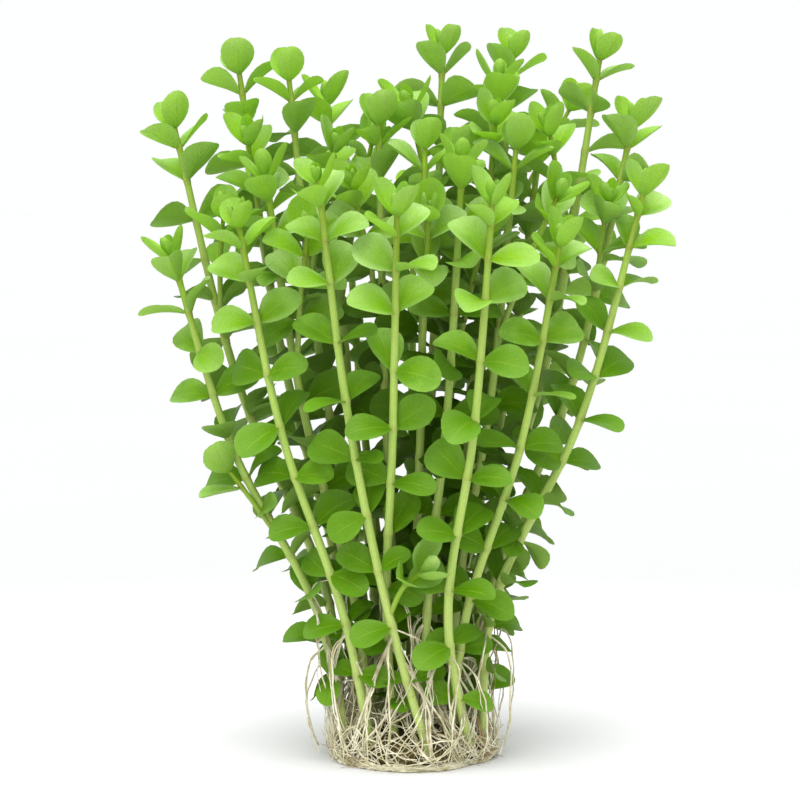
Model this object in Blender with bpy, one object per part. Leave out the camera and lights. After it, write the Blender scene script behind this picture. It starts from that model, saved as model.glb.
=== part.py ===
"""A rooted bundle of round-leaved water-plant shoots, standing on its own felted root mat.

Each shoot is one grown piece: a stem with its opposite leaves, and on some a side shoot or a hanging root.
The shoots stand in sockets of the root mat. Units are metres, +Z is up, and the origin is the middle of
the mat's underside. Lengths in the tables and in names that end in _MM are millimetres.
"""

import math
import random

import bmesh
import bpy
import numpy as np
from mathutils import Matrix, Vector
from mathutils.bvhtree import BVHTree

MM = 0.001

# Root mat: a felted disc with a rounded edge, given as (radius, height) down its outer side
MAT_PROFILE_MM = ((17.0, 13.6), (23.6, 8.6), (24.8, 4.2), (23.2, 0.0))
MAT_TOP_MM = 15.2
MAT_SIDES = 20
MAT_LOBES = ((3, 0.030, 0.6), (5, 0.022, 2.1), (8, 0.012, 4.0))

# Stems
FOOT_HEIGHT_MM = 3.0
WAIST_HEIGHT_MM = 42.0
BOW_OUT, BOW_UP = 0.58, 0.46
STEM_RADII_MM = ((0.0, 0.62), (8.0, 0.9), (40.0, 1.1), (110.0, 1.28), (230.0, 1.42))
CORNER_SHARE = 1.1
LONGEST_BAND_MM = 30.0
OBSTACLE_GRID = (8, 24)
SOCKET_GAP_MM = 0.4
SOCKET_SIDES = 4
SOCKET_WIDENING = 1.35

# Leaf pairs, counted down from the tip: each pair stands a quarter turn from the pair above it
PAIR_DEPTHS_MM = (0.9, 2.6, 8.6, 18.2, 30.0)
SPACING_BY_FRONT_MM = ((-40.0, 17.0), (-5.0, 12.0))
PAIR_LENGTHS_MM = (7.4, 11.2, 12.6, 13.2, 13.0)
PAIR_RISES_DEG = (72.0, 57.0, 38.0, 24.0, 14.0)
PAIR_WIDTHS = (0.62, 0.80, 0.76, 0.76, 0.80)
PAIR_FACINGS = (0.0, 0.12, 0.34, 0.6, 0.8)
LOWEST_PAIR_MM = 15.0
LOWEST_SIDE_PAIR_MM = 5.0
SMALL_LEAF_BELOW_MM = 70.0
SMALL_LEAF_SHARE = 0.82
NODE_BAND_MM = 1.1
LEAF_THICKNESS = 0.055
SHOULDER, BLUNT_TIP, BLUNT_WIDTH = 0.52, 0.95, 0.68
DEEPER_THAN_WIDE = 1.4
MOST_SWING_DEG = 34.0
LIGHT_SPREAD = ((-0.4, 0.4), (0.25, 0.95), (0.1, 0.8))
FRONT_SPREAD_MM = (-22.0, 12.0)
OUTWARD_LIGHT = 0.6
TURN_STEPS, LEAST_SIDE_SHARE = 8, 0.58
LEAF_TRIES = 14
LEAF_CLEARANCE_MM = 0.4
NEIGHBOUR_MM = 16.0
CORE_RADIUS_MM, CORE_SPREAD = 15.5, (0.35, 0.255)

# Name, tip, waist at WAIST_HEIGHT_MM, foot in the mat, turn of the first leaf pair in degrees
SHOOTS = (
    ("shoot_01", (-69.5, 5.0, 187.0), (-23.5, 3.0), (-20.0, 2.0), 42),
    ("shoot_02", (-69.0, -12.0, 149.0), (-26.5, -8.5), (-18.0, -6.0), 78),
    ("shoot_03", (-51.0, 18.0, 203.0), (-19.5, 9.0), (-16.0, 8.5), 4),
    ("shoot_04", (-49.0, -28.0, 159.0), (-18.8, -17.0), (-11.0, -14.5), 30),
    ("shoot_05", (-42.0, -10.0, 172.0), (-15.5, -6.5), (-11.5, -6.5), 84),
    ("shoot_06", (-36.0, 12.0, 201.0), (-13.5, 4.5), (-10.5, 2.0), 20),
    ("shoot_07", (-26.0, -42.0, 171.0), (-5.5, -22.5), (5.5, -20.0), 55),
    ("shoot_08", (-25.0, 29.0, 194.0), (-10.5, 13.0), (-8.5, 11.5), 65),
    ("shoot_09", (-9.5, 2.0, 188.0), (-5.0, 0.0), (-4.0, -1.5), 38),
    ("shoot_10", (-4.0, -50.0, 163.0), (-7.0, -14.5), (-4.5, -12.0), 48),
    ("shoot_11", (4.0, -8.0, 181.0), (1.5, -5.5), (2.8, -6.0), 10),
    ("shoot_12", (9.5, 26.0, 209.0), (3.0, 11.5), (1.0, 11.0), 52),
    ("shoot_13", (14.5, -23.0, 176.0), (4.5, -13.5), (4.0, -13.0), 80),
    ("shoot_14", (15.0, 6.0, 177.0), (6.5, 2.5), (5.2, 2.5), 25),
    ("shoot_15", (22.5, -44.0, 166.0), (10.6, -24.0), (17.0, -13.0), 60),
    ("shoot_16", (26.0, 18.0, 200.0), (10.0, 8.5), (8.0, 9.5), 88),
    ("shoot_17", (31.0, 36.0, 208.0), (10.0, 17.5), (7.6, 17.0), 35),
    ("shoot_18", (30.5, -4.0, 181.0), (13.0, -3.5), (11.5, -4.5), 15),
    ("shoot_19", (39.0, 27.0, 182.0), (14.5, 13.0), (13.4, 13.2), 70),
    ("shoot_20", (42.0, -32.0, 154.0), (15.5, -14.5), (10.8, -12.5), 45),
    ("shoot_21", (56.0, 16.0, 207.0), (19.5, 7.5), (17.4, 7.4), 32),
    ("shoot_22", (65.0, 6.0, 187.0), (22.0, 1.0), (19.5, 0.6), 40),
    ("shoot_23", (67.0, -14.0, 168.0), (23.0, -8.0), (20.6, -6.2), 46),
    ("shoot_24", (-44.0, 37.0, 168.0), (-16.0, 16.5), (-13.8, 15.0), 33),
    ("shoot_25", (-20.0, 46.0, 172.0), (-8.0, 20.0), (-6.2, 18.6), 75),
    ("shoot_26", (1.0, 53.0, 166.0), (-0.5, 21.5), (0.6, 18.4), 22),
    ("shoot_27", (24.0, 54.0, 160.0), (7.5, 23.5), (7.0, 22.6), 62),
    ("shoot_28", (50.0, 42.0, 164.0), (17.5, 18.5), (14.6, 18.2), 12),
)

# A side shoot: parent, height where it leaves the parent, tip, turn of its first leaf pair
SIDE_SHOOTS = (
    ("shoot_02", 63.0, (-54.0, -14.0, 88.0), 20),
    ("shoot_07", 45.0, (4.0, -33.0, 60.0), 48),
    ("shoot_01", 127.0, (-54.0, -5.0, 161.0), 15),
    ("shoot_03", 140.0, (-47.5, 1.0, 182.0), 62),
    ("shoot_05", 113.0, (-29.0, -27.0, 156.0), 38),
    ("shoot_06", 138.0, (-22.0, 0.0, 180.0), 74),
    ("shoot_08", 133.0, (-11.0, 13.0, 182.0), 26),
    ("shoot_09", 123.0, (-17.0, -18.5, 169.5), 50),
    ("shoot_11", 113.0, (5.0, -29.5, 161.0), 5),
    ("shoot_12", 150.0, (-1.0, 10.0, 192.0), 70),
    ("shoot_14", 110.0, (21.5, -14.0, 156.0), 33),
    ("shoot_16", 142.0, (24.5, 0.5, 188.0), 58),
    ("shoot_17", 145.0, (49.0, 36.5, 192.0), 18),
    ("shoot_18", 123.0, (42.0, -19.5, 166.0), 80),
    ("shoot_21", 145.0, (40.0, 5.5, 185.0), 44),
    ("shoot_22", 129.0, (56.5, -9.5, 165.0), 66),
)
SIDE_SHARE = 0.8

# Hanging roots: shoot, height where it leaves the stem, how far it bulges out, where its tip ends
HANGING_ROOTS = (
    ("shoot_01", 33.0, 31.0, (-27.5, 4.5, 3.0)),
    ("shoot_02", 40.0, 31.5, (-27.0, -8.5, 2.5)),
    ("shoot_03", 36.0, 29.0, (-23.5, 14.5, 3.5)),
    ("shoot_04", 37.0, 30.0, (-19.5, -20.0, 2.5)),
    ("shoot_07", 49.0, 29.5, (-6.0, -27.5, 2.5)),
    ("shoot_10", 34.0, 28.0, (-12.5, -25.0, 3.0)),
    ("shoot_15", 36.0, 30.0, (10.5, -26.0, 2.5)),
    ("shoot_20", 39.0, 30.5, (20.5, -19.0, 3.0)),
    ("shoot_21", 35.0, 30.0, (24.5, 12.5, 3.0)),
    ("shoot_22", 40.0, 30.5, (27.5, 2.0, 2.5)),
    ("shoot_23", 35.0, 31.0, (26.0, -9.5, 2.5)),
    ("shoot_24", 36.0, 28.5, (-17.5, 21.5, 3.0)),
    ("shoot_26", 38.0, 29.0, (-3.0, 27.5, 2.5)),
    ("shoot_28", 36.0, 29.5, (18.5, 22.0, 3.0)),
)
ROOT_RADIUS_MM = 0.55
ROOT_BELOW_NODE_MM = 2.6
ROOT_SIDES = 4
ROOT_RINGS = 6

GREEN_SHOOT = (0.20, 0.42, 0.03, 1.0)
CREAM_ROOT = (0.72, 0.67, 0.50, 1.0)


# Curves and tubes

def smooth_line(points, step):
    """Points about one step apart on a smooth cubic curve through the given points."""
    points = [np.array(p, float) for p in points]
    chords = [np.linalg.norm(b - a) for a, b in zip(points, points[1:])]
    slopes = [(b - a) / c for a, b, c in zip(points, points[1:], chords)]
    tangents = [slopes[0]]
    for before, after, chord_a, chord_b in zip(slopes, slopes[1:], chords, chords[1:]):
        tangents.append((before * chord_b + after * chord_a) / (chord_a + chord_b))
    tangents.append(slopes[-1])
    line = []
    for i, chord in enumerate(chords):
        count = max(2, round(chord / step))
        for k in range(count):
            t = k / count
            line.append(
                points[i] * (2 * t**3 - 3 * t**2 + 1)
                + points[i + 1] * (3 * t**2 - 2 * t**3)
                + tangents[i] * chord * (t**3 - 2 * t**2 + t)
                + tangents[i + 1] * chord * (t**3 - t**2)
            )
    line.append(points[-1])
    return np.array(line)


def lengths_from_end(line):
    """Distance of each point from the line's last point, along the line."""
    steps = np.linalg.norm(np.diff(line, axis=0), axis=1)
    return np.append(np.cumsum(steps[::-1])[::-1], 0.0)


def point_and_direction(line, from_end):
    """The place on the line that far from its end, and the direction towards the end there."""
    away = lengths_from_end(line)
    place = [np.interp(from_end, away[::-1], line[::-1, axis]) for axis in range(3)]
    ahead = [np.interp(from_end - MM, away[::-1], line[::-1, axis]) for axis in range(3)]
    behind = [np.interp(from_end + MM, away[::-1], line[::-1, axis]) for axis in range(3)]
    return Vector(place), (Vector(ahead) - Vector(behind)).normalized()


def at_height(line, height):
    """The distance from the line's end at which it has this height."""
    away = lengths_from_end(line)
    return float(np.interp(height, line[:, 2], away))


def stem_radius(from_tip):
    """Radius of a stem that far below its tip."""
    depths, radii = zip(*STEM_RADII_MM)
    return float(np.interp(from_tip / MM, depths, radii)) * MM


def tube(centres, radii, sides):
    """Closed tube of that many sides, as a bmesh: one ring at each centre, and a flat cap at each end."""
    mesh = bmesh.new()
    rings = []
    across = Vector((1, 0, 0))
    for i, (centre, radius) in enumerate(zip(centres, radii)):
        before, after = centres[max(i - 1, 0)], centres[min(i + 1, len(centres) - 1)]
        along = (Vector(after) - Vector(before)).normalized()
        across = (across - along * across.dot(along)).normalized()
        other = along.cross(across)
        ring = []
        for k in range(sides):
            angle = 2 * math.pi * k / sides
            offset = (across * math.cos(angle) + other * math.sin(angle)) * radius
            ring.append(mesh.verts.new(Vector(centre) + offset))
        rings.append(ring)
    for lower, upper in zip(rings, rings[1:]):
        for k in range(sides):
            after = (k + 1) % sides
            mesh.faces.new((lower[k], lower[after], upper[after], upper[k]))
    mesh.faces.new(reversed(rings[0]))
    mesh.faces.new(rings[-1])
    return mesh


def line_tube(line, sides, rings, radius_at):
    """Tube along a line, with rings evenly spaced along it."""
    away = np.linspace(lengths_from_end(line)[0], 0.0, rings)
    centres = [point_and_direction(line, a)[0] for a in away]
    return tube(centres, [radius_at(a) for a in away], sides)


# Layout: the stems' lines, the hanging roots' lines and every leaf of the bundle

def stem_lines():
    """Line of each shoot's stem, from its foot to its tip."""
    lines = {}
    for name, tip, waist, foot, _ in SHOOTS:
        tip = np.array(tip)
        waist = np.array((*waist, WAIST_HEIGHT_MM))
        foot = np.array((*foot, FOOT_HEIGHT_MM))
        bow = waist + (tip - waist) * (BOW_OUT, BOW_OUT, BOW_UP)
        lines[name] = smooth_line([foot * MM, waist * MM, bow * MM, tip * MM], 2 * MM)
    return lines


def side_shoot_line(stem, height, tip):
    """Line of a side shoot, which leaves its parent inside the parent's stem."""
    start, along = point_and_direction(stem, at_height(stem, height * MM))
    tip = Vector(tip) * MM
    middle = start.lerp(tip, 0.45) + along * (2.5 * MM)
    return smooth_line([start, middle, tip], 2 * MM)


def hanging_root_line(stem, height, bulge, end):
    """Line of a hanging root: from the stem just below a leaf pair, outwards and down past the mat's edge."""
    about = at_height(stem, height * MM)
    nodes = pair_depths(stem, LOWEST_PAIR_MM * MM)
    below = min(nodes, key=lambda depth: abs(depth - about)) + ROOT_BELOW_NODE_MM * MM
    start, _ = point_and_direction(stem, below)
    end = Vector(end) * MM
    outward = Vector((start.x + end.x, start.y + end.y, 0)).normalized()
    shoulder = start + outward * (3.2 * MM) - Vector((0, 0, 1.5 * MM))
    middle = outward * (bulge * MM) + Vector((0, 0, start.z * 0.46))
    return smooth_line([start, shoulder, middle, end], 2 * MM)


def pair_depths(line, lowest):
    """Depth below the tip of each leaf pair on a stem. Pairs stand further apart on front shoots."""
    length = lengths_from_end(line)[0]
    fronts, spacings = zip(*SPACING_BY_FRONT_MM)
    spacing = np.interp(line[-1, 1] / MM, fronts, spacings) * MM
    depths = [d * MM for d in PAIR_DEPTHS_MM]
    while depths[-1] + spacing < length:
        depths.append(depths[-1] + spacing)
    return [d for d in depths if d < length - lowest]


def from_top(values, order):
    """The table's value for the pair of that order, counted from the tip."""
    return values[min(order, len(values) - 1)]


def leaf_frame(base, along, side, normal):
    """Matrix that places a leaf modelled along +X, with its width along Y and its face towards +Z."""
    frame = Matrix((along, side, normal)).transposed().to_4x4()
    frame.translation = base
    return frame


def across_stem(stem_along, azimuth):
    """Direction square to the stem on the side of that compass angle."""
    flat = Vector((math.cos(azimuth), math.sin(azimuth), 0))
    return (flat - stem_along * flat.dot(stem_along)).normalized()


def leaf_turned(stem_along, facet_out, swing, rise, facing, light):
    """Directions of a leaf: along it, across it, and out of its face, which turns towards its light."""
    facet_side = stem_along.cross(facet_out)
    out = facet_out * math.cos(swing) + facet_side * math.sin(swing)
    natural_along = out * math.cos(rise) + stem_along * math.sin(rise)
    natural_normal = stem_along * math.cos(rise) - out * math.sin(rise)
    for _ in range(TURN_STEPS):
        along = (natural_along - light * natural_along.dot(light) * facing).normalized()
        normal = natural_normal * (1 - facing) + light * facing
        normal = (normal - along * normal.dot(along)).normalized()
        side = normal.cross(along)
        if side.dot(facet_side) > LEAST_SIDE_SHARE:
            break
        facing *= 0.8
    return along, side, normal


def blade_points(leaf, grow=0.0):
    """A leaf's four corners, from its left shoulder round its tip to the right one, and its raised middle."""
    size, half, reach = leaf["size"], leaf["width"] / 2 + grow, leaf["size"] + grow
    left = [(SHOULDER * size, half), (BLUNT_TIP * reach, BLUNT_WIDTH * half)]
    right = [(x, -y) for x, y in reversed(left)]
    points = [Vector((x, y, -grow)) for x, y in left + right]
    points.append(Vector((0.55 * size, 0.0, size * LEAF_THICKNESS + grow)))
    return [leaf["frame"] @ point for point in points]


def leaf_tree(leaf, grow):
    """Search tree of a leaf grown by a clearance, from a point in its stem out to its tip."""
    points = [leaf["frame"] @ Vector((-0.5 * leaf["neck"], 0.0, 0.0))] + blade_points(leaf, grow)
    faces = [(0, 4, 3, 2, 1), (0, 1, 5), (1, 2, 5), (2, 3, 5), (3, 4, 5), (4, 0, 5)]
    return BVHTree.FromPolygons(points, faces)


def tube_tree(mesh):
    """Search tree of a bmesh, which is freed."""
    tree = BVHTree.FromBMesh(mesh)
    mesh.free()
    return tree


def leaf_tried(stem, attempt, line, order, depth, turn, side):
    """One leaf of a pair, as the attempt of that number would set it."""
    dice = random.Random(f"{stem}/{order}/{side}/{attempt}")
    node, along = point_and_direction(line, depth)
    low = 1.0 if order < 3 else np.interp(node.z / MM, (30, SMALL_LEAF_BELOW_MM), (SMALL_LEAF_SHARE, 1))
    size = from_top(PAIR_LENGTHS_MM, order) * MM * low * dice.uniform(0.90, 1.10) * 0.97**attempt
    width = size * from_top(PAIR_WIDTHS, order) * dice.uniform(0.92, 1.08)
    loose = math.radians(min(8 + 3 * min(order, 4) + 3 * attempt, MOST_SWING_DEG))
    swing = dice.uniform(-loose, loose)
    rise = math.radians(from_top(PAIR_RISES_DEG, order) + dice.uniform(-9, 9))
    facing = from_top(PAIR_FACINGS, order) * dice.uniform(0.35, 1.3)
    outward = Vector((node.x, node.y * DEEPER_THAN_WIDE, 0)).normalized()
    spread = Vector([dice.uniform(*reach) for reach in LIGHT_SPREAD])
    if node.y < dice.uniform(*FRONT_SPREAD_MM) * MM:
        spread.y *= -1
    out = across_stem(along, math.radians(turn + 90 * order + 180 * side))
    light = (outward * OUTWARD_LIGHT + spread).normalized()
    directions = leaf_turned(along, out, swing, rise, facing, light)
    base = node + out * stem_radius(depth)
    return {
        "frame": leaf_frame(base, *directions),
        "size": size,
        "width": width,
        "neck": stem_radius(depth),
        "left_low": directions[1].dot(along) < 0,
        "order": order,
        "depth": depth,
        "facet": (order + 2 * side) % 4,
        "node": node,
        "stem": stem,
        "middle": base + directions[0] * size * 0.55,
    }


def lay_out_leaves(stems, roots):
    """Every leaf of the bundle, each clear of the stems, roots and earlier leaves, or left out as fallen."""
    gap = LEAF_CLEARANCE_MM * MM
    obstacles = []
    for number, line, *_ in stems:
        around = line_tube(line, *OBSTACLE_GRID, lambda away: stem_radius(away) * CORNER_SHARE + gap)
        obstacles.append((number, tube_tree(around)))
    for _, line in roots:
        around = line_tube(line, *OBSTACLE_GRID, lambda away: ROOT_RADIUS_MM * MM + gap)
        obstacles.append((None, tube_tree(around)))
    wanted = []
    for number, line, turn, lowest in stems:
        for order, depth in enumerate(pair_depths(line, lowest)):
            wanted += [(order, number, side, line, depth, turn) for side in (0, 1)]
    placed = []
    for order, number, side, line, depth, turn in sorted(wanted, key=lambda w: w[:3]):
        others = [tree for owner, tree in obstacles if owner != number]
        for attempt in range(LEAF_TRIES):
            leaf = leaf_tried(number, attempt, line, order, depth, turn, side)
            leaf["tree"] = leaf_tree(leaf, gap)
            near = [p for p in placed if (p["middle"] - leaf["middle"]).length < NEIGHBOUR_MM * MM]
            if any(leaf["tree"].overlap(tree) for tree in others):
                continue
            if any(leaf["tree"].overlap(p["tree"]) for p in near):
                continue
            placed.append(leaf)
            break
    return placed


# Objects

def finish(colour, roughness):
    """Plain surface of one colour."""
    material = bpy.data.materials.new("finish")
    material.use_nodes = True
    shader = material.node_tree.nodes["Principled BSDF"]
    shader.inputs["Base Color"].default_value = colour
    shader.inputs["Roughness"].default_value = roughness
    return material


def add_object(name, mesh, material, helper=False):
    """Object from a bmesh. A helper is hidden from the render."""
    data = bpy.data.meshes.new(name)
    bmesh.ops.recalc_face_normals(mesh, faces=mesh.faces)
    mesh.to_mesh(data)
    mesh.free()
    data.materials.append(material)
    thing = bpy.data.objects.new(name, data)
    bpy.context.scene.collection.objects.link(thing)
    if helper:
        thing.hide_render = True
        thing.display_type = "WIRE"
    return thing


def join_by_boolean(body, other, operation):
    """Live Boolean of another object onto the body."""
    modifier = body.modifiers.new(operation.lower(), "BOOLEAN")
    modifier.operation = operation
    modifier.object = other
    modifier.solver = "EXACT"
    modifier.use_self = operation == "UNION"


def merged(meshes):
    """One bmesh that holds several, which are freed."""
    whole = bmesh.new()
    for mesh in meshes:
        data = bpy.data.meshes.new("part")
        mesh.to_mesh(data)
        mesh.free()
        whole.from_mesh(data)
        bpy.data.meshes.remove(data)
    return whole


def modelled(leaf):
    """The leaf pairs near the tips and on the bundle's outside are modelled. The finer work adds the rest."""
    node = leaf["node"]
    height = max(0.0, node.z - MAT_TOP_MM * MM)
    reach_x, reach_y = [CORE_RADIUS_MM * MM + height * spread for spread in CORE_SPREAD]
    return leaf["order"] in (1, 2) or math.hypot(node.x / reach_x, node.y / reach_y) > 1


def square_ring(mesh, line, away, turn, radius):
    """Four corners round a stem. The facet between corner k and the next faces a quarter turn times k."""
    centre, along = point_and_direction(line, away)
    across = across_stem(along, turn)
    other = along.cross(across)
    angles = [math.radians(90 * k - 45) for k in range(4)]
    return [mesh.verts.new(centre + (across * math.cos(a) + other * math.sin(a)) * radius) for a in angles]


def grow_leaf(mesh, leaf, lower, upper):
    """Leaf that grows from one facet of its stem, with the facet's two lower and two upper corners."""
    low_right, low_left = lower
    high_right, high_left = upper
    left, left_tip, right_tip, right, middle = [mesh.verts.new(point) for point in blade_points(leaf)]
    if leaf["left_low"]:
        underside = ((low_right, left, low_left), (low_right, right, left))
    else:
        underside = ((low_right, right, low_left), (low_left, right, left))
    for corners in underside:
        mesh.faces.new(corners)
    mesh.faces.new((right, right_tip, left_tip, left))
    mesh.faces.new((low_left, left, high_left))
    mesh.faces.new((low_right, high_right, right))
    rim = [high_right, high_left, left, left_tip, right_tip, right, high_right]
    for start, end in zip(rim, rim[1:]):
        mesh.faces.new((end, middle, start))


def leafy_stem(line, turn, radius_at, leaves):
    """Square stem with a short band at each node, from whose facets the node's leaves grow."""
    mesh = bmesh.new()
    half_band = NODE_BAND_MM * MM / 2
    nodes = sorted({leaf["depth"] for leaf in leaves}, reverse=True)
    by_place = {(leaf["depth"], leaf["facet"]): leaf for leaf in leaves}
    places = [(lengths_from_end(line)[0], None)]
    for depth in nodes:
        places += [(depth + half_band, depth), (depth - half_band, None)]
    places.append((0.0, None))
    rings, bands = [], []
    for (start, node), (end, _) in zip(places, places[1:]):
        steps = math.ceil((start - end) / (LONGEST_BAND_MM * MM))
        for k in range(steps):
            away = start + (end - start) * k / steps
            rings.append(square_ring(mesh, line, away, math.radians(turn), radius_at(away) * CORNER_SHARE))
            bands.append(node)
    rings.append(square_ring(mesh, line, 0.0, math.radians(turn), radius_at(0.0) * CORNER_SHARE))
    for lower, upper, node in zip(rings, rings[1:], bands):
        for k in range(4):
            after = (k + 1) % 4
            leaf = by_place.get((node, k))
            if leaf:
                grow_leaf(mesh, leaf, (lower[k], lower[after]), (upper[k], upper[after]))
            else:
                mesh.faces.new((lower[k], lower[after], upper[after], upper[k]))
    mesh.faces.new(reversed(rings[0]))
    mesh.faces.new(rings[-1])
    return mesh


def build_shoot(name, number, stems, sides, roots, leaves, material):
    """One shoot: its stem with the leaves that grow from it, and any side shoot or hanging root joined on."""
    _, line, turn, _ = stems[number]
    own = [leaf for leaf in leaves if modelled(leaf) and leaf["stem"] == number]
    stem = add_object(name, leafy_stem(line, turn, stem_radius, own), material)
    grown = []
    for parent, (side_number, side_line, side_turn, _) in sides:
        if parent == name:
            own = [leaf for leaf in leaves if modelled(leaf) and leaf["stem"] == side_number]
            grown.append(leafy_stem(side_line, side_turn, lambda away: stem_radius(away) * SIDE_SHARE, own))
    for parent, root_line in roots:
        if parent == name:
            grown.append(line_tube(root_line, ROOT_SIDES, ROOT_RINGS, lambda away: ROOT_RADIUS_MM * MM))
    if grown:
        helper = add_object(name + "_growth", merged(grown), material, helper=True)
        join_by_boolean(stem, helper, "UNION")


def mat_radius(radius, angle):
    """Radius of the mat's slightly lobed outline."""
    wave = sum(size * math.sin(count * angle + start) for count, size, start in MAT_LOBES)
    return radius * (1 + wave)


def build_root_mat(lines, material):
    """The felted disc of roots, with a socket for each stem's foot."""
    mesh = bmesh.new()
    top = mesh.verts.new((0, 0, MAT_TOP_MM * MM))
    rings = []
    for radius, height in MAT_PROFILE_MM:
        ring = []
        for k in range(MAT_SIDES):
            angle = 2 * math.pi * k / MAT_SIDES
            reach = mat_radius(radius, angle) * MM
            ring.append(mesh.verts.new((reach * math.cos(angle), reach * math.sin(angle), height * MM)))
        rings.append(ring)
    for k in range(MAT_SIDES):
        after = (k + 1) % MAT_SIDES
        mesh.faces.new((top, rings[0][k], rings[0][after]))
        for upper, lower in zip(rings, rings[1:]):
            mesh.faces.new((upper[k], lower[k], lower[after], upper[after]))
    mesh.faces.new(reversed(rings[-1]))
    mat = add_object("root_mat", mesh, material)
    cutters = []
    for line in lines:
        length = lengths_from_end(line)[0]
        rim = at_height(line, (MAT_TOP_MM + 4) * MM)
        foot, along = point_and_direction(line, length)
        centres = [foot - along * SOCKET_GAP_MM * MM, point_and_direction(line, rim)[0]]
        radii = [stem_radius(length) * CORNER_SHARE * SOCKET_WIDENING + SOCKET_GAP_MM * MM] * 2
        cutters.append(tube(centres, radii, SOCKET_SIDES))
    sockets = add_object("sockets", merged(cutters), material, helper=True)
    join_by_boolean(mat, sockets, "DIFFERENCE")


def main():
    for thing in list(bpy.data.objects):
        bpy.data.objects.remove(thing)
    lines = stem_lines()
    stems = [(n, lines[name], turn, LOWEST_PAIR_MM * MM) for n, (name, *_, turn) in enumerate(SHOOTS)]
    sides = []
    for n, (parent, height, tip, turn) in enumerate(SIDE_SHOOTS, len(stems)):
        side_line = side_shoot_line(lines[parent], height, tip)
        sides.append((parent, (n, side_line, turn, LOWEST_SIDE_PAIR_MM * MM)))
    roots = [(name, hanging_root_line(lines[name], h, out, end)) for name, h, out, end in HANGING_ROOTS]
    leaves = lay_out_leaves(stems + [side for _, side in sides], roots)
    green, cream = finish(GREEN_SHOOT, 0.45), finish(CREAM_ROOT, 0.7)
    for number, (name, *_) in enumerate(SHOOTS):
        build_shoot(name, number, stems, sides, roots, leaves, green)
    build_root_mat(lines.values(), cream)
    print(len(leaves), "leaves,", sum(map(modelled, leaves)), "modelled")


main()
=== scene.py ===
"""The looks of a rooted bundle of round-leaved water-plant shoots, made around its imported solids.

Units are metres, +Z is up, and the origin is the middle of the root mat's underside. Names that end in _MM
hold millimetres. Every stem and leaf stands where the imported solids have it, and leaves fill the inside too.
"""

import math
import random

import bmesh
import bpy
import numpy as np
from mathutils import Matrix, Vector
from mathutils.bvhtree import BVHTree


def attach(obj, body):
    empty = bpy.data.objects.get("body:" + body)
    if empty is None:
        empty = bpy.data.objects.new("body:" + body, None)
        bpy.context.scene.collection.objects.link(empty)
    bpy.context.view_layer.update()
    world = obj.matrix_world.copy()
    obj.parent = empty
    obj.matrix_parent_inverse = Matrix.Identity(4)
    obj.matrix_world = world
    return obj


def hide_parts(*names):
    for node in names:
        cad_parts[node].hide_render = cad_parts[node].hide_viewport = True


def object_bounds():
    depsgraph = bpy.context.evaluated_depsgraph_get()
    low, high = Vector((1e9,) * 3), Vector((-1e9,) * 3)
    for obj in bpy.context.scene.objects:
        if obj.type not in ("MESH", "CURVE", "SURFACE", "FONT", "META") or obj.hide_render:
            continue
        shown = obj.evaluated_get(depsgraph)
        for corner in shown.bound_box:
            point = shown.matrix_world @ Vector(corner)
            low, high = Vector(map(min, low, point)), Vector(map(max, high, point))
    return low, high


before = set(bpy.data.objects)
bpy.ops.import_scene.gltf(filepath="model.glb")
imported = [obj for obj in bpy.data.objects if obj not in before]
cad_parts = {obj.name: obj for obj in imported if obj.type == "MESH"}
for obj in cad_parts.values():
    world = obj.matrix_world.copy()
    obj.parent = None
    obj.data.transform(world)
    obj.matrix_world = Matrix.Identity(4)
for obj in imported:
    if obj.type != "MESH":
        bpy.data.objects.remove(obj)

cad_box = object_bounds()
MM = 0.001


# Stems
# The real stems are juicy green tubes with fine ribs, a little thicker at each leaf pair and paler near the
# roots. They grow from the mat and bow outwards. Each is a cylinder cut into rings and laid along its line.

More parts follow.
